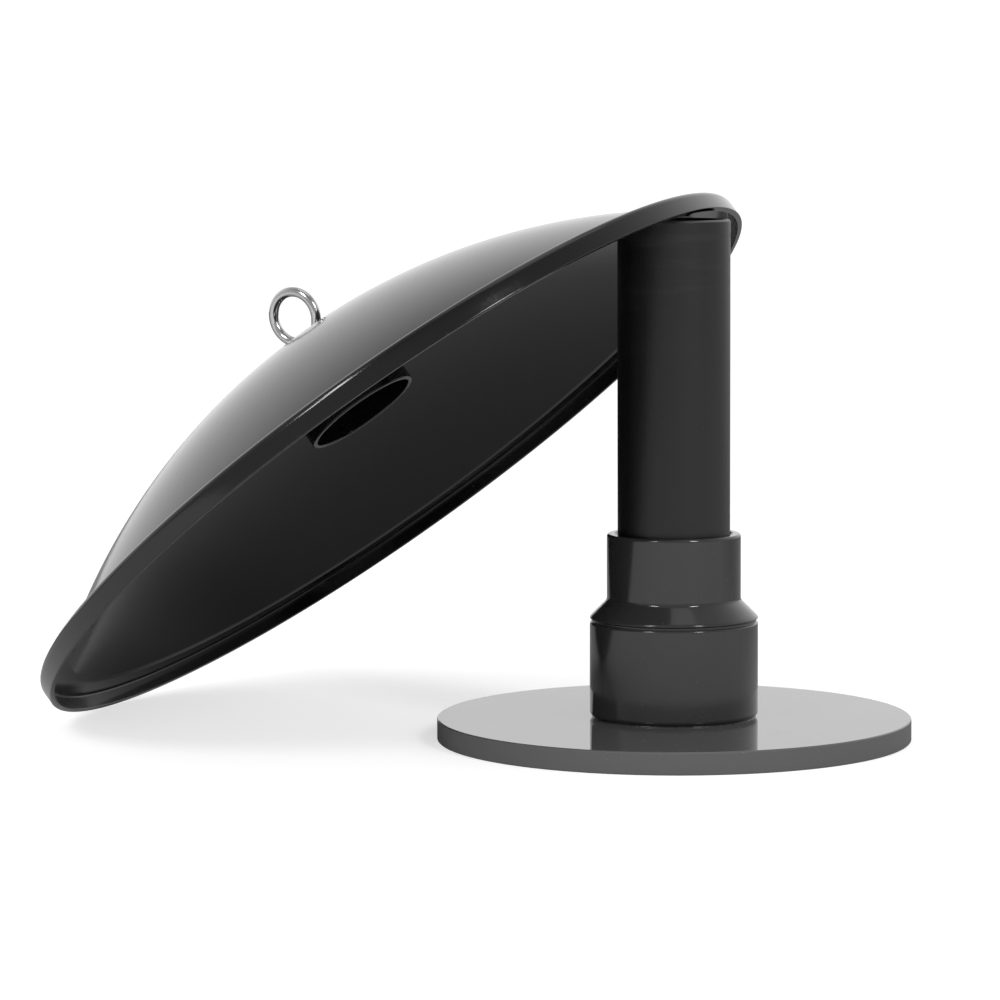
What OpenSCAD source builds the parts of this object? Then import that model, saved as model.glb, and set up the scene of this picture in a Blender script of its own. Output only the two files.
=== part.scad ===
// Lift-off plastic dome with a lifting eye, leaning on the socketed pipe stand that it fits over.
// The stand is a round base plate, a moulded pipe reducer and a short length of pipe. The dome is a
// shallow thermoformed cap with a flat flange and a turned-down skirt; a socketed end cap is bolted
// under its crown, and the pipe's free end goes into that socket when the dome is set on top.
// Origin: centre of the base plate's underside. +Z up. The dome leans towards -X.

/* [Base plate] */
// Diameter of the round base plate
plate_d = 317; // [240:1:380]
// Thickness of the base plate
plate_t = 15; // [10:0.5:25]
// Broken edge around the plate, top and bottom
plate_edge = 0.8; // [0.3:0.1:2]
// Height of the turned boss that centres the reducer
boss_h = 4; // [2:0.5:8]

/* [Pipe] */
// Outside diameter of the pipe
pipe_d = 75; // [63:0.5:80]
// Wall of the pipe
pipe_wall = 3.6; // [2:0.1:6]
// Cut length of the pipe
pipe_len = 253; // [200:1:320]
// Chamfer on the pipe's two ends
pipe_chamfer = 1.2; // [0.5:0.1:2.5]

/* [Reducer] */
// Outside diameter of the reducer's lower spigot
spigot_d = 112.4; // [105:0.1:118]
// Wall of the lower spigot
spigot_wall = 5.2; // [4:0.1:8]
// Height of the lower spigot, up to the groove
spigot_h = 64; // [55:0.5:70]
// Lead-in chamfer at the spigot's foot
spigot_chamfer = 2.7; // [1:0.1:4]
// Height of the groove above the spigot
groove_h = 2.2; // [1:0.1:3]
// Depth of that groove
groove_depth = 1.5; // [0.5:0.1:2.5]
// Height of the plain lip above the groove
lip_h = 1.3; // [0.8:0.1:2]
// Outside diameter of the upper socket
socket_d = 89.4; // [86:0.1:94]
// Depth of the upper socket, which the pipe is pushed into
socket_depth = 44; // [35:1:50]
// Diameter clearance between the pipe and the socket
socket_fit = 0.1; // [0.02:0.02:0.2]
// Width of the stop shoulder that the pipe rests on
stop_w = 3; // [2:0.5:5]
// Height of the stop shoulder
stop_h = 5; // [3:0.5:8]

/* [Dome] */
// Diameter over the dome's skirt
dome_d = 574; // [480:1:600]
// Wall of the dome
dome_wall = 4; // [3:0.1:6]
// Outside radius of the spherical crown
crown_r = 434; // [420:1:470]
// Height of the crown's outside above the skirt's free edge
dome_h = 105.5; // [95:0.5:115]
// Height of the turned-down skirt
skirt_h = 15; // [11:0.5:20]
// Outside radius of the bend between flange and skirt
skirt_bend = 5; // [4.5:0.1:8]
// How far the crown's centre of curvature stands past the pipe's axis as the dome leans
crown_past_pipe = 5; // [0:0.5:15]
// Gap left between the pipe's top edge and the leaning dome
rest_gap = 0.3; // [0.1:0.1:1]

/* [End cap under the crown] */
// Outside diameter of the end cap
cap_d = 82.5; // [82:0.5:92]
// Height of the cap's mouth above the skirt's free edge
cap_mouth_h = 45; // [40:0.5:60]
// Depth of the cap's socket, up to its stop
cap_socket_depth = 34; // [25:1:36]
// Diameter clearance between the pipe and the cap's socket
cap_fit = 0.4; // [0.2:0.1:1]
// Height of the cap's flat end above the skirt's free edge
cap_end_h = 98; // [97:0.5:98.5]
// Thickness of the cap's end wall
cap_end_t = 6; // [5:0.5:9]
// Radius of the narrower chamber behind the cap's stop
cap_chamber_r = 35; // [28:0.5:36]
// Radius of the rubber pad between the cap and the crown
pad_r = 30; // [15:1:38]

/* [Lifting eye] */
// Outside diameter of the eye's ring
eye_d = 42; // [34:1:50]
// Diameter of the ring's round bar
eye_wire = 6.8; // [5:0.1:9]
// Turn of the ring about the dome's axis
eye_turn = 12; // [0:1:90]
// Thread diameter of the eye's shank
shank_d = 8; // [6:1:10]
// Diameter clearance of the shank in its holes
shank_play = 0.4; // [0.2:0.1:1]
// Outside diameter of the two steel washers
washer_d = 24; // [18:1:30]
// Thickness of the two steel washers
washer_t = 1.5; // [1:0.1:2.5]
// Width of the lock nut across its flats
nut_af = 13; // [10:0.5:17]
// Height of the lock nut
nut_h = 8; // [6:0.5:10]
// Thread left proud of the lock nut
thread_proud = 2; // [1:0.5:2.5]

/* [Hidden] */
$fn = 96;

// Stand, from the floor up
plate_r = plate_d / 2;
pipe_r = pipe_d / 2;
spigot_r = spigot_d / 2;
spigot_bore_r = spigot_r - spigot_wall;
socket_r = socket_d / 2;
socket_bore_r = (pipe_d + socket_fit) / 2;
stop_r = socket_bore_r - stop_w;
lip_z = spigot_h + groove_h;
cone_z = lip_z + lip_h;
shoulder_z = cone_z + spigot_r - socket_r;
reducer_h = shoulder_z + socket_depth;
pipe_z = plate_t + shoulder_z;
pipe_top = pipe_z + pipe_len;
mouth_chamfer = 2;
boss_gap = 0.3;
lip_round = 1.2;
inner_cone_z = shoulder_z - stop_h - (spigot_bore_r - stop_r);

// Dome, in its own frame: free edge at height 0, axis up
skirt_r = dome_d / 2;
crown_in_r = crown_r - dome_wall;
crown_drop = crown_r - dome_h;
flange_in_h = skirt_h - dome_wall;
bend_in_r = skirt_bend - dome_wall;
cut_r = skirt_r + 1;
cut_h = dome_h + 1;

// Lean at which the crown just clears the pipe's top edge while the skirt stands on the floor
touch_r = pipe_r - pipe_chamfer + crown_past_pipe;
ceiling = sqrt(crown_in_r * crown_in_r - touch_r * touch_r);
lean = atan2(crown_drop, skirt_r)
  + asin((pipe_top + rest_gap - ceiling) / norm([crown_drop, skirt_r]));
dome_x = crown_past_pipe - crown_drop * sin(lean);
dome_z = skirt_r * sin(lean);

// Stack under the eye, in the dome's frame
hole_r = (shank_d + shank_play) / 2;
shank_r = shank_d / 2;
seat_gap = 0.02;
washer_h = dome_h + seat_gap;
ring_r = (eye_d - eye_wire) / 2;
seat_h = washer_h + washer_t;
eye_flat = 0.5;
ring_h = seat_h + eye_wire / 2 + ring_r - eye_flat;
neck_r = 6;
cap_bore_r = (pipe_d + cap_fit) / 2;
cap_stop_h = cap_mouth_h + cap_socket_depth;
cap_floor_h = cap_end_h - cap_end_t;
inner_washer_h = cap_floor_h - washer_t;
nut_top_h = inner_washer_h;
thread_end_h = nut_top_h - nut_h - thread_proud;
nut_corner_r = nut_af / 2 / cos(30);
nut_bevel = 1;
pad_gap = 0.05;

// Places a shape drawn in the dome's own frame where the dome leans on the stand
module leaning() {
  translate([dome_x, 0, dome_z]) rotate([0, -lean, 0]) children();
}

// Half-plane profile of the crown between two heights, before its hole is cut
module crown_profile(low_h) {
  intersection() {
    difference() {
      translate([0, -crown_drop]) circle(r = crown_r, $fn = 360);
      translate([0, -crown_drop]) circle(r = crown_in_r, $fn = 360);
    }
    translate([0, low_h]) square([skirt_r - dome_wall, cut_h - low_h]);
  }
}

// Flat flange and turned-down skirt with a rounded bend
module rim_profile() {
  flange_r = sqrt(crown_in_r * crown_in_r - pow(crown_drop + flange_in_h, 2));
  translate([flange_r, flange_in_h]) square([skirt_r - skirt_bend - flange_r, dome_wall]);
  translate([skirt_r - dome_wall, 0]) square([dome_wall, skirt_h - skirt_bend]);
  intersection() {
    translate([skirt_r - skirt_bend, skirt_h - skirt_bend]) difference() {
      circle(r = skirt_bend);
      circle(r = bend_in_r);
    }
    translate([skirt_r - skirt_bend, skirt_h - skirt_bend]) square(skirt_bend);
  }
}

module base_plate() {
  color("dimgray") {
    rotate_extrude() polygon([
      [0, 0], [plate_r - plate_edge, 0], [plate_r, plate_edge], [plate_r, plate_t - plate_edge],
      [plate_r - plate_edge, plate_t], [0, plate_t]
    ]);
    translate([0, 0, plate_t - 1]) cylinder(r = spigot_bore_r - boss_gap, h = boss_h + 1);
  }
}

module base_cement() {
  foot_r = spigot_r - spigot_chamfer;
  color("darkslategray") translate([0, 0, plate_t]) rotate_extrude()
    polygon([[foot_r, 0], [foot_r + 1.6, 0], [foot_r + 1, 1]]);
}

module reducer() {
  foot_r = spigot_r - spigot_chamfer;
  round_z = reducer_h - lip_round;
  color("slategray") translate([0, 0, plate_t]) rotate_extrude() {
    polygon([
      [spigot_bore_r, 0], [foot_r, 0], [spigot_r, spigot_chamfer], [spigot_r, spigot_h - 0.6],
      [spigot_r - 0.6, spigot_h], [spigot_r - groove_depth, spigot_h + 0.4],
      [spigot_r - groove_depth, lip_z - 0.4], [spigot_r - 0.3, lip_z], [spigot_r, lip_z + 0.3],
      [spigot_r, cone_z], [socket_r, shoulder_z], [socket_r, round_z],
      [socket_r - lip_round, round_z], [socket_r - lip_round, reducer_h],
      [socket_bore_r + mouth_chamfer, reducer_h], [socket_bore_r, reducer_h - mouth_chamfer],
      [socket_bore_r, shoulder_z], [stop_r, shoulder_z], [stop_r, shoulder_z - stop_h],
      [spigot_bore_r, inner_cone_z]
    ]);
    intersection() {
      translate([socket_r - lip_round, round_z]) circle(r = lip_round);
      translate([socket_r - lip_round, round_z]) square(lip_round);
    }
  }
}

module standpipe() {
  inner_r = pipe_r - pipe_wall;
  color("gray") translate([0, 0, pipe_z]) rotate_extrude() polygon([
    [inner_r, 0], [pipe_r - pipe_chamfer, 0], [pipe_r, pipe_chamfer],
    [pipe_r, pipe_len - pipe_chamfer], [pipe_r - pipe_chamfer, pipe_len], [inner_r, pipe_len]
  ]);
}

module dome_shell() {
  color("black") leaning() difference() {
    rotate_extrude() {
      crown_profile(flange_in_h);
      rim_profile();
    }
    translate([0, 0, dome_h - 3 * dome_wall]) cylinder(r = hole_r, h = 4 * dome_wall);
  }
}

module end_cap() {
  cap_r = cap_d / 2;
  color("darkslategray") leaning() rotate_extrude() polygon([
    [cap_bore_r, cap_mouth_h], [cap_r - 1, cap_mouth_h], [cap_r, cap_mouth_h + 1],
    [cap_r, cap_end_h - 3], [cap_r - 3, cap_end_h], [hole_r, cap_end_h], [hole_r, cap_floor_h],
    [cap_chamber_r, cap_floor_h], [cap_chamber_r, cap_stop_h], [cap_bore_r, cap_stop_h]
  ]);
}

module crown_pad() {
  color("dimgray") leaning() difference() {
    intersection() {
      translate([0, 0, cap_end_h]) cylinder(r = pad_r, h = dome_h - cap_end_h);
      translate([0, 0, -crown_drop]) sphere(r = crown_in_r - pad_gap, $fn = 240);
    }
    translate([0, 0, cap_end_h - 1]) cylinder(r = hole_r, h = dome_h);
  }
}

module top_washer() {
  color("silver") leaning() translate([0, 0, washer_h]) steel_washer();
}

module inner_washer() {
  color("silver") leaning() translate([0, 0, inner_washer_h]) steel_washer();
}

// Flat steel washer standing on its own origin
module steel_washer() {
  difference() {
    cylinder(d = washer_d, h = washer_t);
    translate([0, 0, -1]) cylinder(r = hole_r, h = washer_t + 2);
  }
}

module eye_bolt() {
  color("silver") leaning() {
    difference() {
      rotate([0, 0, -eye_turn]) translate([0, 0, ring_h]) rotate([90, 0, 0])
        rotate_extrude() translate([ring_r, 0]) circle(d = eye_wire);
      translate([0, 0, seat_h - eye_wire]) cylinder(r = eye_d, h = eye_wire);
    }
    translate([0, 0, seat_h]) cylinder(r1 = neck_r, r2 = shank_r, h = eye_wire / 2);
    translate([0, 0, thread_end_h]) cylinder(r = shank_r, h = seat_h + 1 - thread_end_h);
  }
}

module lock_nut() {
  color("silver") leaning() translate([0, 0, nut_top_h - nut_h]) difference() {
    intersection() {
      cylinder(r = nut_corner_r, h = nut_h, $fn = 6);
      union() {
        cylinder(r1 = nut_corner_r - nut_bevel, r2 = nut_corner_r, h = nut_bevel);
        translate([0, 0, nut_bevel]) cylinder(r = nut_corner_r + 1, h = nut_h);
      }
    }
    translate([0, 0, -1]) cylinder(r = shank_r + seat_gap, h = nut_h + 2);
  }
}

base_plate();
base_cement();
reducer();
standpipe();
dome_shell();
end_cap();
crown_pad();
top_washer();
eye_bolt();
inner_washer();
lock_nut();
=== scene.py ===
import bpy
import math
from mathutils import Matrix, Vector


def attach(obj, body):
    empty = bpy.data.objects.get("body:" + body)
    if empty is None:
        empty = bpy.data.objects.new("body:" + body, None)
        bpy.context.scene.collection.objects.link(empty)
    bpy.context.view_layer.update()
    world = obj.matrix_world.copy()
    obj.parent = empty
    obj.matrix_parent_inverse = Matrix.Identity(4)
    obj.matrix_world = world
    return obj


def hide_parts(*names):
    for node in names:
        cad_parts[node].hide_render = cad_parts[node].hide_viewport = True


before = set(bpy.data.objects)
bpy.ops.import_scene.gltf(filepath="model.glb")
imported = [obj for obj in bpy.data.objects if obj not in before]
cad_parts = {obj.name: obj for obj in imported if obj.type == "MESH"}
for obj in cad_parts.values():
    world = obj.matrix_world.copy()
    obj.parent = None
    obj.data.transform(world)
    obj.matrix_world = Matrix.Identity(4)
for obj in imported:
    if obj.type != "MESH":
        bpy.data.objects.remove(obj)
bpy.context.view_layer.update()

# ---- Studio ----
# A pale seamless sweep under a bright surround, with two soft panels in front and one overhead.
# The surround grows darker towards the front, as with cards. To every ray but the lens's, the sweep's colour is
# painted darker towards the back: painted shade for the floor shaded under the dome, while the lens sees the sweep
# a plain pale tone. A long lens stands back from the object, a little above the top of the pipe.
away_from_lens = (-0.377, 0.926, 0)
sweep_size = 12


def add_range(tree, source, low, high, from_low=0.0, from_high=1.0, smooth=False):
    """Maps a value of a node tree to a range."""
    node = tree.nodes.new("ShaderNodeMapRange")
    if smooth:
        node.interpolation_type = "SMOOTHSTEP"
    for socket_name, value in (("From Min", from_low), ("From Max", from_high), ("To Min", low), ("To Max", high)):
        if isinstance(value, (int, float)):
            node.inputs[socket_name].default_value = value
        else:
            tree.links.new(value, node.inputs[socket_name])
    tree.links.new(source, node.inputs["Value"])
    return node.outputs["Result"]


def add_depth(tree, source):
    """How far a place or direction lies away from the lens."""
    node = tree.nodes.new("ShaderNodeVectorMath")
    node.operation = "DOT_PRODUCT"
    node.inputs[1].default_value = away_from_lens
    tree.links.new(source, node.inputs[0])
    return node.outputs["Value"]


bpy.ops.object.select_all(action="DESELECT")
bpy.ops.mesh.primitive_plane_add(size=sweep_size, location=(0, 0, 0))
sweep = bpy.context.active_object
sweep.name = "floor_sweep"
floor_white = bpy.data.materials.new("floor_white")
floor_white.use_nodes = True
floor_tree = floor_white.node_tree
floor_bsdf = floor_tree.nodes["Principled BSDF"]
floor_bsdf.inputs["Roughness"].default_value = 0.9
floor_bsdf.inputs["Emission Color"].default_value = (1, 1, 1, 1)
floor_seen = floor_tree.nodes.new("ShaderNodeLightPath").outputs["Is Camera Ray"]
floor_place = floor_tree.nodes.new("ShaderNodeTexCoord").outputs["Object"]
# Painted shade: the colour other surfaces see in the sweep darkens away from the lens, standing in for the floor
# shaded under the dome.
reflected_painted_shade = add_range(floor_tree, add_depth(floor_tree, floor_place), 0.9, 0.36, -0.15, 0.45)
floor_tone = add_range(floor_tree, floor_seen, reflected_painted_shade, 0.62)
floor_glow = add_range(floor_tree, floor_seen, 0.0, 0.62)
floor_tree.links.new(floor_tone, floor_bsdf.inputs["Base Color"])
floor_tree.links.new(floor_glow, floor_bsdf.inputs["Emission Strength"])
sweep.data.materials.append(floor_white)

surround = bpy.data.worlds.new("surround")
surround.use_nodes = True
sky = surround.node_tree
backdrop = sky.nodes["Background"]
backdrop.inputs["Color"].default_value = (1, 1, 1, 1)
aim = sky.nodes.new("ShaderNodeTexCoord").outputs["Generated"]
fade = add_range(sky, add_depth(sky, aim), 0.46, 1.12, -0.6, 0.85, smooth=True)
split_aim = sky.nodes.new("ShaderNodeSeparateXYZ")
sky.links.new(aim, split_aim.inputs["Vector"])
overhead = add_range(sky, split_aim.outputs["Z"], 1.0, 0.6, 0.4, 0.85, smooth=True)
dimmed = sky.nodes.new("ShaderNodeMath")
dimmed.operation = "MULTIPLY"
sky.links.new(fade, dimmed.inputs[0])
sky.links.new(overhead, dimmed.inputs[1])
sky_seen = sky.nodes.new("ShaderNodeLightPath").outputs["Is Camera Ray"]
sky.links.new(add_range(sky, sky_seen, dimmed.outputs[0], 1.12), backdrop.inputs["Strength"])
bpy.context.scene.world = surround
bpy.context.scene.view_settings.view_transform = "Standard"


def add_panel(name, place, aim, width, height, watts):
    """One rectangular soft light, turned to face a point."""
    bpy.ops.object.light_add(type="AREA", location=place)
    panel = bpy.context.active_object
    panel.name = name
    panel.data.shape = "RECTANGLE"
    panel.data.size = width
    panel.data.size_y = height
    panel.data.energy = watts
    panel.rotation_euler = (Vector(aim) - Vector(place)).to_track_quat("-Z", "Y").to_euler()


add_panel("panel_left", (-0.75, -2.2, 1.9), (0, 0, 0.2), 0.5, 0.9, 26)
add_panel("panel_right", (2.1, -1.3, 1.9), (0, 0, 0.2), 0.5, 0.9, 26)
add_panel("panel_top", (0, 0.2, 2.6), (0, 0, 0.1), 1.6, 1.6, 4)

camera_place = Vector((0.9527, -2.6497, 0.4304))
camera_turn = math.radians(112.134)
camera_dip = math.radians(5.477)
camera_roll = math.radians(0.21)
bpy.ops.object.camera_add(location=camera_place)
camera = bpy.context.active_object
camera.name = "camera"
camera.data.lens = 152.67
camera.data.sensor_width = 36
gaze = Vector((math.cos(camera_turn) * math.cos(camera_dip),
               math.sin(camera_turn) * math.cos(camera_dip), -math.sin(camera_dip)))
camera.rotation_mode = "QUATERNION"
camera.rotation_quaternion = gaze.to_track_quat("-Z", "Y") @ Matrix.Rotation(-camera_roll, 3, "Z").to_quaternion()
bpy.context.scene.camera = camera

# ---- Base plate ----
# The real piece is a disc turned from grey plastic sheet, 317 mm across and 15 mm thick, with a
# low boss on top that centres the reducer. It lies flat on the floor by its own weight.
MM = 0.001


def hold_flats(rings):
    """Adds a ring beside each corner sharper than 6 degrees, so that a flat shades flat up to it."""
    headings = [math.atan2(b[1] - a[1], b[0] - a[0]) for a, b in zip(rings, rings[1:])]
    turns = [1.0] + [abs(math.remainder(b - a, math.tau)) for a, b in zip(headings, headings[1:])] + [1.0]
    held = [rings[0]]
    for i, ((r0, h0), (r1, h1)) in enumerate(zip(rings, rings[1:])):
        length = math.hypot(r1 - r0, h1 - h0)
        if length > 1.2 and min(r0, r1) > 0:
            near = min(0.3, length / 5) / length
            for t, turn in ((near, turns[i]), (1 - near, turns[i + 1])):
                if turn > math.radians(6):
                    held.append((r0 + (r1 - r0) * t, h0 + (h1 - h0) * t))
        held.append((r1, h1))
    return held


def turn_rings(name, rings, sides=256):
    """Lathe work: a circle is drawn out ring by ring through (radius, height) pairs in mm. A
    radius of 0 closes on the axis; a last pair equal to the first closes the section."""
    bpy.ops.object.select_all(action="DESELECT")
    rings = hold_flats(rings)
    from_axis = rings[0][0] == 0
    radius, height = rings[1] if from_axis else rings[0]
    bpy.ops.mesh.primitive_circle_add(vertices=sides, radius=radius * MM, location=(0, 0, height * MM),
                                      fill_type="TRIFAN" if from_axis else "NOTHING")
    piece = bpy.context.active_object
    piece.name = name
    bpy.ops.object.transform_apply(location=True, rotation=True, scale=True)
    bpy.ops.object.mode_set(mode="EDIT")
    if from_axis:
        bpy.ops.mesh.select_all(action="DESELECT")
        bpy.ops.mesh.select_non_manifold(extend=False)
    else:
        bpy.ops.mesh.select_all(action="SELECT")
    for next_radius, next_height in rings[2 if from_axis else 1:]:
        rise = {"value": (0, 0, (next_height - height) * MM)}
        bpy.ops.mesh.extrude_region_move(TRANSFORM_OT_translate=rise)
        if next_radius == 0:
            bpy.ops.mesh.merge(type="CENTER")
            break
        grow = next_radius / radius
        bpy.ops.transform.resize(value=(grow, grow, 1), center_override=(0, 0, next_height * MM))
        radius, height = next_radius, next_height
    bpy.ops.mesh.select_all(action="SELECT")
    bpy.ops.mesh.remove_doubles(threshold=1e-6)
    bpy.ops.mesh.normals_make_consistent(inside=False)
    bpy.ops.object.mode_set(mode="OBJECT")
    return piece


def round_edges(piece, width, angle):
    """Rolls the sharp edges over with a bevel and shades the rest smooth."""
    bpy.ops.object.select_all(action="DESELECT")
    piece.select_set(True)
    bpy.context.view_layer.objects.active = piece
    bevel = piece.modifiers.new("rolled_edge", "BEVEL")
    bevel.width = width * MM
    bevel.segments = 3
    bevel.limit_method = "ANGLE"
    bevel.angle_limit = math.radians(angle)
    bpy.ops.object.modifier_apply(modifier=bevel.name)
    bpy.ops.object.shade_smooth_by_angle(angle=math.radians(28))


plate_r = 158.5
plate_t = 15
plate_chamfer = 0.8
boss_r = 50.7
boss_top = plate_t + 4
boss_chamfer = 0.4
plate = turn_rings("base_disc", [
    (0, 0), (60, 0), (120, 0), (plate_r - plate_chamfer, 0), (plate_r, plate_chamfer), (plate_r, plate_t / 2),
    (plate_r, plate_t - plate_chamfer), (plate_r - plate_chamfer, plate_t), (120, plate_t), (80, plate_t),
    (boss_r, plate_t), (boss_r, boss_top - boss_chamfer), (boss_r - boss_chamfer, boss_top), (25, boss_top),
    (0, boss_top)])
round_edges(plate, 0.35, 30)

# Scratches, dust and soft mottling come from one shared effect, used at its own strength in
# every plastic and steel finish below.
marks = bpy.data.node_groups.new("handling_marks", "ShaderNodeTree")
marks.interface.new_socket("Vector", in_out="INPUT", socket_type="NodeSocketVector")
marks.interface.new_socket("Scratch Scale", in_out="INPUT", socket_type="NodeSocketFloat")
marks.interface.new_socket("Dust Scale", in_out="INPUT", socket_type="NodeSocketFloat")
marks.interface.new_socket("Cloud Scale", in_out="INPUT", socket_type="NodeSocketFloat")
marks.interface.new_socket("Scratches", in_out="OUTPUT", socket_type="NodeSocketFloat")
marks.interface.new_socket("Dust", in_out="OUTPUT", socket_type="NodeSocketFloat")
marks.interface.new_socket("Clouds", in_out="OUTPUT", socket_type="NodeSocketFloat")
mk = marks.nodes
mk_in = mk.new("NodeGroupInput")
mk_out = mk.new("NodeGroupOutput")


def scratch_family(turn, seed_shift, thin):
    """Long thin marks that run one way: noise stretched hard along one axis, cut to a thin line."""
    lay = mk.new("ShaderNodeMapping")
    lay.inputs["Rotation"].default_value = turn
    lay.inputs["Location"].default_value = seed_shift
    lay.inputs["Scale"].default_value = (1.0, 26.0, 26.0)
    marks.links.new(mk_in.outputs["Vector"], lay.inputs["Vector"])
    grain = mk.new("ShaderNodeTexNoise")
    grain.inputs["Detail"].default_value = 1.0
    marks.links.new(lay.outputs["Vector"], grain.inputs["Vector"])
    marks.links.new(mk_in.outputs["Scratch Scale"], grain.inputs["Scale"])
    offset = mk.new("ShaderNodeMath")
    offset.operation = "SUBTRACT"
    offset.inputs[1].default_value = 0.5
    marks.links.new(grain.outputs["Fac"], offset.inputs[0])
    size = mk.new("ShaderNodeMath")
    size.operation = "ABSOLUTE"
    marks.links.new(offset.outputs[0], size.inputs[0])
    line = mk.new("ShaderNodeMapRange")
    line.inputs["From Min"].default_value = thin
    line.inputs["From Max"].default_value = 0.0
    marks.links.new(size.outputs[0], line.inputs["Value"])
    return line


family_a = scratch_family((0.3, 0.2, 0.5), (3.1, 0.7, 1.9), 0.006)
family_b = scratch_family((1.1, -0.4, -0.9), (7.3, 2.2, 4.1), 0.005)
both = mk.new("ShaderNodeMath")
both.operation = "MAXIMUM"
marks.links.new(family_a.outputs["Result"], both.inputs[0])
marks.links.new(family_b.outputs["Result"], both.inputs[1])
patchy = mk.new("ShaderNodeTexNoise")
patchy.inputs["Scale"].default_value = 14.0
marks.links.new(mk_in.outputs["Vector"], patchy.inputs["Vector"])
patch_cut = mk.new("ShaderNodeMapRange")
patch_cut.inputs["From Min"].default_value = 0.5
patch_cut.inputs["From Max"].default_value = 0.68
marks.links.new(patchy.outputs["Fac"], patch_cut.inputs["Value"])
scratch_out = mk.new("ShaderNodeMath")
scratch_out.operation = "MULTIPLY"
marks.links.new(both.outputs[0], scratch_out.inputs[0])
marks.links.new(patch_cut.outputs["Result"], scratch_out.inputs[1])
marks.links.new(scratch_out.outputs[0], mk_out.inputs["Scratches"])

cells = mk.new("ShaderNodeTexVoronoi")
marks.links.new(mk_in.outputs["Vector"], cells.inputs["Vector"])
marks.links.new(mk_in.outputs["Dust Scale"], cells.inputs["Scale"])
speck = mk.new("ShaderNodeMapRange")
speck.inputs["From Min"].default_value = 0.16
speck.inputs["From Max"].default_value = 0.08
marks.links.new(cells.outputs["Distance"], speck.inputs["Value"])
pick = mk.new("ShaderNodeSeparateColor")
marks.links.new(cells.outputs["Color"], pick.inputs["Color"])
few = mk.new("ShaderNodeMath")
few.operation = "GREATER_THAN"
few.inputs[1].default_value = 0.965
marks.links.new(pick.outputs["Red"], few.inputs[0])
dust_out = mk.new("ShaderNodeMath")
dust_out.operation = "MULTIPLY"
marks.links.new(speck.outputs["Result"], dust_out.inputs[0])
marks.links.new(few.outputs[0], dust_out.inputs[1])
marks.links.new(dust_out.outputs[0], mk_out.inputs["Dust"])

clouds = mk.new("ShaderNodeTexNoise")
clouds.inputs["Detail"].default_value = 3.0
marks.links.new(mk_in.outputs["Vector"], clouds.inputs["Vector"])
marks.links.new(mk_in.outputs["Cloud Scale"], clouds.inputs["Scale"])
marks.links.new(clouds.outputs["Fac"], mk_out.inputs["Clouds"])


def link(material, out_socket, in_socket):
    material.node_tree.links.new(out_socket, in_socket)


def add_node(material, kind, **settings):
    """A node with some of its sockets set by name."""
    node = material.node_tree.nodes.new(kind)
    for socket_name, value in settings.items():
        node.inputs[socket_name.replace("_", " ")].default_value = value
    return node


def mix_range(material, value, low, high, from_low=0.0, from_high=1.0):
    """Maps a mask to a range of one shader value."""
    return add_range(material.node_tree, value, low, high, from_low, from_high)


def blend_colours(material, mask, first, second):
    """Two colours mixed by a mask; either may be a plain colour or another node's output."""
    node = material.node_tree.nodes.new("ShaderNodeMix")
    node.data_type = "RGBA"
    link(material, mask, node.inputs["Factor"])
    for socket, colour in ((node.inputs[6], first), (node.inputs[7], second)):
        if isinstance(colour, tuple):
            socket.default_value = (*colour, 1)
        else:
            link(material, colour, socket)
    return node.outputs[2]


def start_plastic(name, scratch_scale, dust_scale, cloud_scale):
    """A new material with object coordinates and the handling marks wired up."""
    material = bpy.data.materials.new(name)
    material.use_nodes = True
    bsdf = material.node_tree.nodes["Principled BSDF"]
    place = material.node_tree.nodes.new("ShaderNodeTexCoord")
    group = material.node_tree.nodes.new("ShaderNodeGroup")
    group.node_tree = marks
    link(material, place.outputs["Object"], group.inputs["Vector"])
    group.inputs["Scratch Scale"].default_value = scratch_scale
    group.inputs["Dust Scale"].default_value = dust_scale
    group.inputs["Cloud Scale"].default_value = cloud_scale
    return material, bsdf, place, group


def add_bump(material, bsdf, height, strength, distance, under=None):
    """One layer of relief, set on top of another if there is one."""
    bump = add_node(material, "ShaderNodeBump", Strength=strength, Distance=distance)
    link(material, height, bump.inputs["Height"])
    if under is not None:
        link(material, under.outputs["Normal"], bump.inputs["Normal"])
    link(material, bump.outputs["Normal"], bsdf.inputs["Normal"])
    return bump


def add_sum(material, first, second, weight):
    """first + weight * second."""
    node = material.node_tree.nodes.new("ShaderNodeMath")
    node.operation = "MULTIPLY_ADD"
    node.inputs[1].default_value = weight
    link(material, second, node.inputs[0])
    link(material, first, node.inputs[2])
    return node.outputs[0]


sheet_grey, bsdf, place, group = start_plastic("sheet_grey", 5, 420, 9)
bsdf.inputs["IOR"].default_value = 1.58
tone = blend_colours(sheet_grey, group.outputs["Clouds"], (0.090, 0.090, 0.092), (0.112, 0.112, 0.114))
facing = sheet_grey.node_tree.nodes.new("ShaderNodeNewGeometry")
facing_xyz = sheet_grey.node_tree.nodes.new("ShaderNodeSeparateXYZ")
link(sheet_grey, facing.outputs["Normal"], facing_xyz.inputs["Vector"])
flatness = sheet_grey.node_tree.nodes.new("ShaderNodeMath")
flatness.operation = "ABSOLUTE"
link(sheet_grey, facing_xyz.outputs["Z"], flatness.inputs[0])
is_edge = mix_range(sheet_grey, flatness.outputs[0], 1.0, 0.0, 0.4, 0.8)
turned_tone = blend_colours(sheet_grey, is_edge, tone, (0.105, 0.105, 0.107))
dusty = blend_colours(sheet_grey, group.outputs["Dust"], turned_tone, (0.24, 0.24, 0.235))
link(sheet_grey, dusty, bsdf.inputs["Base Color"])
rough = mix_range(sheet_grey, is_edge, 0.045, 0.8)
rough = add_sum(sheet_grey, rough, group.outputs["Scratches"], 0.18)
rough = add_sum(sheet_grey, rough, group.outputs["Dust"], 0.5)
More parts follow.
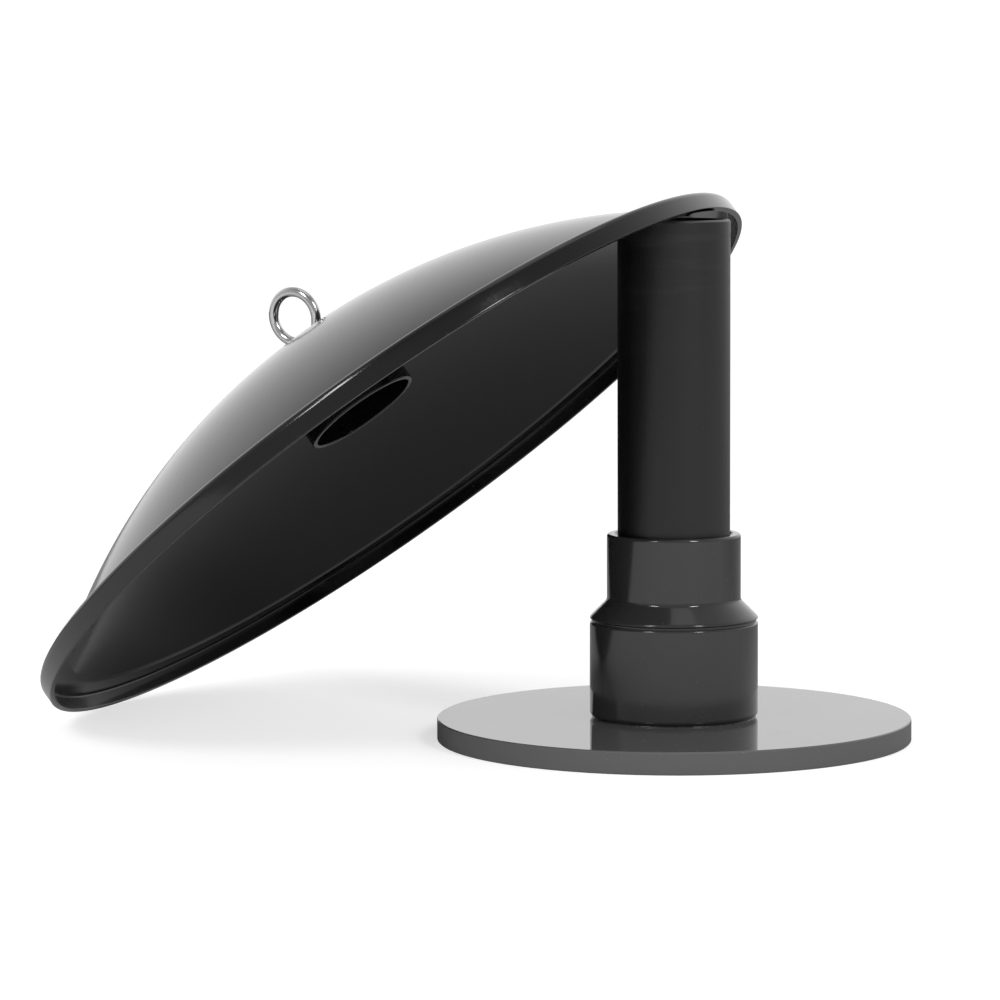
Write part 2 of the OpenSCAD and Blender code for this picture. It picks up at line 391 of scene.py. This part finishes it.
link(sheet_grey, rough, bsdf.inputs["Roughness"])
lay = add_node(sheet_grey, "ShaderNodeMapping", Scale=(0.6, 0.6, 1400))
link(sheet_grey, place.outputs["Object"], lay.inputs["Vector"])
tool_lines = add_node(sheet_grey, "ShaderNodeTexNoise", Scale=1.0, Detail=3.0)
link(sheet_grey, lay.outputs["Vector"], tool_lines.inputs["Vector"])
edge_lines = sheet_grey.node_tree.nodes.new("ShaderNodeMath")
edge_lines.operation = "MULTIPLY"
link(sheet_grey, tool_lines.outputs["Fac"], edge_lines.inputs[0])
link(sheet_grey, is_edge, edge_lines.inputs[1])
relief = add_bump(sheet_grey, bsdf, edge_lines.outputs[0], 0.5, 0.0002)
add_bump(sheet_grey, bsdf, group.outputs["Scratches"], 0.12, 0.00005, relief)
plate.data.materials.append(sheet_grey)
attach(plate, "stand")
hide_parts("base_plate")

# ---- Reducer ----
# A moulded PVC pressure reducer: a 112 mm spigot below, a groove and lip, a 45 degree cone and a
# 75 mm socket on top. Its foot is cemented to the plate over the boss.
spigot_r = 56.2
socket_r = 44.7
socket_bore = 37.55
z0 = plate_t
reducer = turn_rings("reducer_moulding", [
    (51, z0), (53.5, z0), (54.4, z0 + 0.9), (55.3, z0 + 1.8), (56.0, z0 + 2.6), (spigot_r, z0 + 3.6),
    (spigot_r, z0 + 20), (spigot_r, z0 + 42), (spigot_r, z0 + 62.9), (56.05, z0 + 63.5), (55.6, z0 + 63.9),
    (54.9, z0 + 64.25), (54.7, z0 + 64.9), (54.85, z0 + 65.6), (55.5, z0 + 66.05), (56.0, z0 + 66.4),
    (56.15, z0 + 66.8), (55.95, z0 + 67.4), (55.3, z0 + 68.3), (51, z0 + 72.6), (46.6, z0 + 77.0),
    (45.4, z0 + 78.3), (44.85, z0 + 79.2), (socket_r, z0 + 80.4), (socket_r, z0 + 100), (socket_r, z0 + 121.4),
    (44.5, z0 + 122.1), (44.1, z0 + 122.65), (43.5, z0 + 123), (40.2, z0 + 123), (39.75, z0 + 122.85),
    (39.4, z0 + 122.5), (socket_bore + 0.15, z0 + 120.7), (socket_bore, z0 + 120.2), (socket_bore, z0 + 100),
    (socket_bore, z0 + 79), (34.55, z0 + 79), (34.55, z0 + 74), (51, z0 + 57.6), (51, z0)], sides=288)
bpy.ops.object.shade_smooth_by_angle(angle=math.radians(40))

moulded_grey, bsdf, place, group = start_plastic("moulded_grey", 7, 520, 16)
tone = blend_colours(moulded_grey, group.outputs["Clouds"], (0.026, 0.026, 0.027), (0.034, 0.034, 0.035))
dusty = blend_colours(moulded_grey, group.outputs["Dust"], tone, (0.10, 0.10, 0.10))
link(moulded_grey, dusty, bsdf.inputs["Base Color"])
rough = mix_range(moulded_grey, group.outputs["Clouds"], 0.09, 0.17)
rough = add_sum(moulded_grey, rough, group.outputs["Scratches"], 0.2)
rough = add_sum(moulded_grey, rough, group.outputs["Dust"], 0.5)
link(moulded_grey, rough, bsdf.inputs["Roughness"])
flow = add_node(moulded_grey, "ShaderNodeTexNoise", Scale=22.0, Detail=1.0)
link(moulded_grey, place.outputs["Object"], flow.inputs["Vector"])
relief = add_bump(moulded_grey, bsdf, flow.outputs["Fac"], 0.1, 0.0006)
add_bump(moulded_grey, bsdf, group.outputs["Scratches"], 0.15, 0.00005, relief)
reducer.data.materials.append(moulded_grey)
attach(reducer, "stand")
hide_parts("reducer")

# ---- Cement bead ----
# Solvent cement squeezed out under the reducer's foot when it was pressed onto the plate. It has
# dried glossy and dark, and it is a little uneven round the ring.
bead = turn_rings("cement_bead", [
    (53.5, plate_t), (55.1, plate_t), (54.95, plate_t + 0.4), (54.6, plate_t + 0.85),
    (54.4, plate_t + 0.9), (53.5, plate_t)], sides=288)
lumps = bpy.data.textures.new("bead_lumps", "CLOUDS")
lumps.noise_scale = 0.004
swell = bead.modifiers.new("swell", "DISPLACE")
swell.texture = lumps
swell.texture_coords = "OBJECT"
swell.strength = 0.0003
bpy.context.view_layer.objects.active = bead
bpy.ops.object.modifier_apply(modifier=swell.name)
bpy.ops.object.shade_smooth()

dried_cement, bsdf, place, group = start_plastic("dried_cement", 9, 500, 120)
tone = blend_colours(dried_cement, group.outputs["Clouds"], (0.012, 0.012, 0.013), (0.035, 0.035, 0.036))
link(dried_cement, tone, bsdf.inputs["Base Color"])
link(dried_cement, mix_range(dried_cement, group.outputs["Clouds"], 0.15, 0.4), bsdf.inputs["Roughness"])
add_bump(dried_cement, bsdf, group.outputs["Clouds"], 0.4, 0.0004)
bead.data.materials.append(dried_cement)
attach(bead, "stand")
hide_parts("base_cement")

# ---- Stand pipe ----
# A cut length of extruded 75 mm PVC pressure pipe with both ends chamfered. It is pushed dry into
# the reducer's socket down to the stop, and it can be pulled out again.
pipe_r = 37.5
pipe_in = 33.9
foot = 94
top = 347
pipe = turn_rings("pipe_length", [
    (pipe_in + 0.3, foot), (36.2, foot), (36.4, foot + 0.1), (37.4, foot + 1.1), (pipe_r, foot + 1.4),
    (pipe_r, foot + 60), (pipe_r, foot + 120), (pipe_r, foot + 180), (pipe_r, top - 1.4), (37.42, top - 1.15),
    (36.45, top - 0.12), (36.2, top), (pipe_in + 0.5, top), (pipe_in + 0.12, top - 0.15), (pipe_in, top - 0.6),
    (pipe_in, foot + 120), (pipe_in, foot + 0.4), (pipe_in + 0.3, foot)], sides=288)
bpy.ops.object.shade_smooth_by_angle(angle=math.radians(35))

drawn_grey, bsdf, place, group = start_plastic("drawn_grey", 6, 480, 12)
tone = blend_colours(drawn_grey, group.outputs["Clouds"], (0.0034, 0.0034, 0.0036), (0.0056, 0.0056, 0.0058))
lay = add_node(drawn_grey, "ShaderNodeMapping", Scale=(240, 240, 1.2))
link(drawn_grey, place.outputs["Object"], lay.inputs["Vector"])
draw_lines = add_node(drawn_grey, "ShaderNodeTexNoise", Scale=1.0, Detail=2.0)
link(drawn_grey, lay.outputs["Vector"], draw_lines.inputs["Vector"])
height = drawn_grey.node_tree.nodes.new("ShaderNodeSeparateXYZ")
link(drawn_grey, place.outputs["Object"], height.inputs["Vector"])
rub_lay = add_node(drawn_grey, "ShaderNodeMapping", Scale=(14, 14, 150))
link(drawn_grey, place.outputs["Object"], rub_lay.inputs["Vector"])
rub = add_node(drawn_grey, "ShaderNodeTexNoise", Scale=1.0, Detail=4.0)
link(drawn_grey, rub_lay.outputs["Vector"], rub.inputs["Vector"])
near_top = mix_range(drawn_grey, height.outputs["Z"], 0.0, 1.0, 0.25, 0.34)
rub_cut = mix_range(drawn_grey, rub.outputs["Fac"], 0.0, 1.0, 0.52, 0.75)
scuff = drawn_grey.node_tree.nodes.new("ShaderNodeMath")
scuff.operation = "MULTIPLY"
link(drawn_grey, near_top, scuff.inputs[0])
link(drawn_grey, rub_cut, scuff.inputs[1])
scuffed = blend_colours(drawn_grey, scuff.outputs[0], tone, (0.017, 0.017, 0.0175))
# The top chamfer and end face are painted paler: partly the paler sawn and deburred surface, partly a painted
# highlight standing in for light from overhead.
sawn_and_highlit = mix_range(drawn_grey, height.outputs["Z"], 0.0, 1.0, 0.3456, 0.3460)
scraped_and_highlit = blend_colours(drawn_grey, sawn_and_highlit, scuffed, (0.075, 0.075, 0.077))
dusty = blend_colours(drawn_grey, group.outputs["Dust"], scraped_and_highlit, (0.06, 0.06, 0.06))
link(drawn_grey, dusty, bsdf.inputs["Base Color"])
rough = mix_range(drawn_grey, draw_lines.outputs["Fac"], 0.36, 0.46)
rough = add_sum(drawn_grey, rough, scuff.outputs[0], 0.16)
rough = add_sum(drawn_grey, rough, group.outputs["Scratches"], 0.15)
link(drawn_grey, rough, bsdf.inputs["Roughness"])
relief = add_bump(drawn_grey, bsdf, draw_lines.outputs["Fac"], 0.12, 0.0003)
add_bump(drawn_grey, bsdf, group.outputs["Scratches"], 0.2, 0.00005, relief)
pipe.data.materials.append(drawn_grey)
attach(pipe, "pipe")
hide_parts("standpipe")

# ---- Dome ----
# A shallow cap vacuum-formed from black gloss sheet, 4 mm thick: a spherical crown, a flat flange
# and a turned-down skirt trimmed at its free edge. It leans with the skirt on the floor and the
# crown's inside on the pipe's top edge, and it is lifted off by the eye.
dome_lean = math.radians(38.194485)
dome_seat = Vector((-0.1981223, 0, 0.1774615))
skirt_r = 287
crown_r = 434
crown_drop = 328.5
sheet_t = 4


def lean_on_stand(piece):
    """Tips a piece drawn upright in the dome's own frame to where the dome leans."""
    bpy.ops.object.select_all(action="DESELECT")
    piece.select_set(True)
    bpy.context.view_layer.objects.active = piece
    piece.rotation_mode = "XYZ"
    piece.rotation_euler = (0, -dome_lean, 0)
    piece.location = dome_seat
    bpy.ops.object.transform_apply(location=True, rotation=True, scale=True)


def crown_rings(radius, start_angle, end_angle, steps):
    """Rings down a sphere between two angles from its axis."""
    rings = []
    for i in range(steps + 1):
        a = start_angle + (end_angle - start_angle) * i / steps
        rings.append((radius * math.sin(a), radius * math.cos(a) - crown_drop))
    return rings


bolt_hole = 4.2
crease_r = 264.4
outer_end = math.asin(crease_r / crown_r)
inner_end = math.asin((crease_r - 2.2) / (crown_r - sheet_t))
outer = crown_rings(crown_r, math.asin(bolt_hole / crown_r), outer_end, 56)
inner = crown_rings(crown_r - sheet_t, inner_end, math.asin(bolt_hole / (crown_r - sheet_t)), 56)
rim = [(265.7, 15.22), (267.2, 15.03), (269, 15), (276, 15), (281.7, 15), (282.5, 14.96), (283.6, 14.72),
       (284.8, 14.14), (285.8, 13.26), (286.5, 12.14), (286.9, 10.9), (skirt_r, 9.9), (skirt_r, 5), (skirt_r, 0.6),
       (286.85, 0.2), (286.5, 0.02), (286.1, 0), (283.6, 0), (283.2, 0.1), (283, 0.5), (283, 4), (283, 9.4),
       (282.85, 10.2), (282.4, 10.75), (281.6, 11), (276, 11), (268.2, 11.02), (266, 11.2), (264.6, 11.6)]
dome = turn_rings("dome_sheet", outer + rim + inner + outer[:1], sides=384)
lean_on_stand(dome)
bpy.ops.object.shade_smooth_by_angle(angle=math.radians(40))

gloss_black, bsdf, place, group = start_plastic("gloss_black", 3, 260, 5)
tone = blend_colours(gloss_black, group.outputs["Clouds"], (0.0030, 0.0030, 0.0031), (0.0045, 0.0045, 0.0046))
dusty = blend_colours(gloss_black, group.outputs["Dust"], tone, (0.03, 0.03, 0.03))
link(gloss_black, dusty, bsdf.inputs["Base Color"])
rough = mix_range(gloss_black, group.outputs["Clouds"], 0.10, 0.16)
rough = add_sum(gloss_black, rough, group.outputs["Scratches"], 0.12)
rough = add_sum(gloss_black, rough, group.outputs["Dust"], 0.4)
link(gloss_black, rough, bsdf.inputs["Roughness"])
wave = add_node(gloss_black, "ShaderNodeTexNoise", Scale=7.0, Detail=1.0)
link(gloss_black, place.outputs["Object"], wave.inputs["Vector"])
relief = add_bump(gloss_black, bsdf, wave.outputs["Fac"], 0.05, 0.003)
add_bump(gloss_black, bsdf, group.outputs["Scratches"], 0.03, 0.00003, relief)
dome.data.materials.append(gloss_black)
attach(dome, "dome")
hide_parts("dome_shell")

# ---- End cap ----
# A moulded PVC pipe cap bolted upside down under the crown. The pipe's end goes into its socket,
# up to a stop; behind that is a narrower chamber with room for the nut.
cap_r = 41.25
cap_bore = 37.7
chamber = 35
cap = turn_rings("cap_moulding", [
    (cap_bore + 0.5, 45), (40.4, 45), (40.9, 45.15), (41.2, 45.6), (cap_r, 46.2), (cap_r, 70), (cap_r, 94.6),
    (41, 95.8), (40.4, 96.8), (39.4, 97.6), (38, 98), (20, 98), (bolt_hole, 98), (bolt_hole, 92), (20, 92),
    (chamber - 1.5, 92), (chamber - 0.4, 91.6), (chamber, 90.6), (chamber, 79.4), (chamber + 0.4, 79),
    (cap_bore, 79), (cap_bore, 62), (cap_bore, 45.8), (cap_bore + 0.15, 45.25), (cap_bore + 0.5, 45)], sides=192)
lean_on_stand(cap)
bpy.ops.object.shade_smooth_by_angle(angle=math.radians(40))

cap_black, bsdf, place, group = start_plastic("cap_black", 8, 500, 20)
tone = blend_colours(cap_black, group.outputs["Clouds"], (0.003, 0.003, 0.0031), (0.005, 0.005, 0.0052))
dusty = blend_colours(cap_black, group.outputs["Dust"], tone, (0.03, 0.03, 0.03))
link(cap_black, dusty, bsdf.inputs["Base Color"])
rough = mix_range(cap_black, group.outputs["Clouds"], 0.14, 0.24)
rough = add_sum(cap_black, rough, group.outputs["Scratches"], 0.2)
link(cap_black, rough, bsdf.inputs["Roughness"])
add_bump(cap_black, bsdf, group.outputs["Clouds"], 0.08, 0.0004)
cap.data.materials.append(cap_black)
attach(cap, "dome")
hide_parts("end_cap")

# ---- Rubber pad ----
# A round of 3 mm rubber between the cap's flat end and the curved crown. It takes up the curve,
# and it is squeezed when the eye is tightened.
pad = turn_rings("pad_round", [
    (bolt_hole, 98), (28.9, 98), (29.6, 98.2), (30, 98.7), (30, 99.9), (29.7, 100.2), (29.2, 100.35),
    (15, 101.1), (bolt_hole, 101.35), (bolt_hole, 98)], sides=128)
lean_on_stand(pad)
bpy.ops.object.shade_smooth_by_angle(angle=math.radians(40))

soft_rubber, bsdf, place, group = start_plastic("soft_rubber", 10, 600, 260)
tone = blend_colours(soft_rubber, group.outputs["Clouds"], (0.012, 0.012, 0.012), (0.022, 0.022, 0.022))
link(soft_rubber, tone, bsdf.inputs["Base Color"])
link(soft_rubber, mix_range(soft_rubber, group.outputs["Clouds"], 0.6, 0.8), bsdf.inputs["Roughness"])
add_bump(soft_rubber, bsdf, group.outputs["Clouds"], 0.3, 0.0003)
pad.data.materials.append(soft_rubber)
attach(pad, "dome")
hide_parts("crown_pad")

# ---- Lifting eye ----
# A stainless eye bolt: round bar bent to a ring and welded to an M8 shank, then polished. The
# shank goes down through washer, crown, pad and cap, and the nut inside the cap holds it.
ring_mean = 17.6
bar_r = 3.4
ring_h = 105.52 + 1.5 + bar_r + ring_mean - 0.5
bpy.ops.object.select_all(action="DESELECT")
bpy.ops.mesh.primitive_torus_add(major_radius=ring_mean * MM, minor_radius=bar_r * MM, major_segments=160,
                                 minor_segments=48, location=(0, 0, 0))
ring = bpy.context.active_object
ring.name = "eye_ring"
ring.rotation_euler = (math.radians(90), 0, math.radians(-12))
ring.location = (0, 0, ring_h * MM)
bpy.ops.object.transform_apply(location=True, rotation=True, scale=True)
bpy.ops.object.mode_set(mode="EDIT")
bpy.ops.mesh.select_all(action="SELECT")
bpy.ops.mesh.bisect(plane_co=(0, 0, 107.05 * MM), plane_no=(0, 0, 1), clear_inner=True, use_fill=True)
bpy.ops.object.mode_set(mode="OBJECT")
shank_rings = [(0, 80.4), (3.2, 80.4), (3.45, 80.6)]
for turn in range(9):
    low = 81 + turn * 1.25
    shank_rings += [(3.97, low), (3.97, low + 0.16), (3.36, low + 0.62), (3.36, low + 0.78)]
shank_rings += [(3.9, 92.4), (3.97, 93), (3.97, 106.9), (5.6, 107.05), (6.0, 107.1), (5.9, 107.5), (5.3, 108.3),
                (4.6, 109.4), (3.9, 110.6), (2.6, 111.6), (0, 111.9)]
shank = turn_rings("eye_shank", shank_rings, sides=96)
bpy.ops.object.select_all(action="DESELECT")
shank.select_set(True)
ring.select_set(True)
bpy.context.view_layer.objects.active = ring
bpy.ops.object.join()
lean_on_stand(ring)
bpy.ops.object.shade_smooth_by_angle(angle=math.radians(35))

polished_steel, bsdf, place, group = start_plastic("polished_steel", 40, 900, 60)
bsdf.inputs["Metallic"].default_value = 1.0
tone = blend_colours(polished_steel, group.outputs["Clouds"], (0.50, 0.50, 0.505), (0.60, 0.60, 0.605))
link(polished_steel, tone, bsdf.inputs["Base Color"])
rough = mix_range(polished_steel, group.outputs["Clouds"], 0.12, 0.2)
rough = add_sum(polished_steel, rough, group.outputs["Scratches"], 0.15)
link(polished_steel, rough, bsdf.inputs["Roughness"])
add_bump(polished_steel, bsdf, group.outputs["Clouds"], 0.06, 0.0003)
ring.data.materials.append(polished_steel)
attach(ring, "dome")
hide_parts("eye_bolt")

# ---- Washers ----
# Two flat stainless washers stamped from sheet: one outside under the eye, one inside the cap
# under the nut. Their edges are rolled over on the punch side.
def stamp_washer(name, low):
    """One 24 mm washer, standing on the given height."""
    piece = turn_rings(name, [
        (bolt_hole, low), (11.7, low), (12, low + 0.25), (12, low + 1.1), (11.6, low + 1.45),
        (11.2, low + 1.5), (bolt_hole + 0.3, low + 1.5), (bolt_hole, low + 1.3), (bolt_hole, low)], sides=96)
    lean_on_stand(piece)
    bpy.ops.object.shade_smooth_by_angle(angle=math.radians(35))
    return piece


fine_steel, bsdf, place, group = start_plastic("fine_steel", 60, 900, 90)
bsdf.inputs["Metallic"].default_value = 1.0
tone = blend_colours(fine_steel, group.outputs["Clouds"], (0.46, 0.46, 0.465), (0.58, 0.58, 0.585))
link(fine_steel, tone, bsdf.inputs["Base Color"])
rough = mix_range(fine_steel, group.outputs["Clouds"], 0.22, 0.36)
rough = add_sum(fine_steel, rough, group.outputs["Scratches"], 0.15)
link(fine_steel, rough, bsdf.inputs["Roughness"])
add_bump(fine_steel, bsdf, group.outputs["Scratches"], 0.2, 0.00003)
for name, low, node in (("washer_outside", 105.52, "top_washer"), ("washer_inside", 90.5, "inner_washer")):
    washer = stamp_washer(name, low)
    washer.data.materials.append(fine_steel)
    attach(washer, "dome")
    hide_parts(node)

# ---- Lock nut ----
# A stainless M8 lock nut, 13 mm across flats, with a turned collar that holds a nylon ring. It is
# run up inside the cap's chamber against the inner washer.
nut_high = 90.5
nut_low = 82.5
hex_r = 13 / 2 / math.cos(math.radians(30))
bpy.ops.object.select_all(action="DESELECT")
bpy.ops.mesh.primitive_cylinder_add(vertices=6, radius=hex_r * MM, depth=5.0 * MM, end_fill_type="NGON",
                                    location=(0, 0, (nut_high - 2.5) * MM))
nut = bpy.context.active_object
nut.name = "nut_hex"
bpy.ops.object.transform_apply(location=True, rotation=True, scale=True)
bpy.ops.object.select_all(action="DESELECT")
corner_cone = turn_rings("nut_corner_cutter", [
    (0, nut_high + 1), (5.6, nut_high + 1), (6.35, nut_high), (7.1, nut_high - 0.45), (7.6, nut_high - 0.75),
    (7.6, nut_high - 4.2), (7.1, nut_high - 4.5), (6.3, nut_high - 5.0), (5.9, nut_high - 5.3),
    (5.75, nut_low + 0.8), (5.4, nut_low + 0.3), (5.0, nut_low), (4.4, nut_low), (4.15, nut_low + 0.5),
    (0, nut_low + 0.5)], sides=96)
collar = turn_rings("nut_collar", [
    (4.02, nut_high - 4.6), (5.95, nut_high - 4.6), (5.9, nut_high - 5.4), (5.85, nut_low + 1.1),
    (5.6, nut_low + 0.5),
    (5.2, nut_low + 0.1), (4.9, nut_low), (4.6, nut_low + 0.1), (4.45, nut_low + 0.4), (4.4, nut_low + 0.75),
    (4.02, nut_low + 0.8), (4.02, nut_high - 4.6)], sides=96)
bore = turn_rings("nut_bore_cutter", [
    (0, nut_high + 1), (5.0, nut_high + 1), (4.4, nut_high), (4.02, nut_high - 0.4), (4.02, nut_high - 6),
    (0, nut_high - 6)], sides=96)
for cutter, how in ((corner_cone, "INTERSECT"), (bore, "DIFFERENCE")):
    cut = nut.modifiers.new("cut", "BOOLEAN")
    cut.operation = how
    cut.solver = "EXACT"
    cut.object = cutter
    bpy.ops.object.select_all(action="DESELECT")
    nut.select_set(True)
    bpy.context.view_layer.objects.active = nut
    bpy.ops.object.modifier_apply(modifier=cut.name)
    bpy.data.objects.remove(cutter)
bpy.ops.object.select_all(action="DESELECT")
collar.select_set(True)
nut.select_set(True)
bpy.context.view_layer.objects.active = nut
bpy.ops.object.join()
nut.name = "lock_nut_turned"
lean_on_stand(nut)
bpy.ops.object.shade_smooth_by_angle(angle=math.radians(25))
nut.data.materials.append(fine_steel)
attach(nut, "dome")
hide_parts("lock_nut")
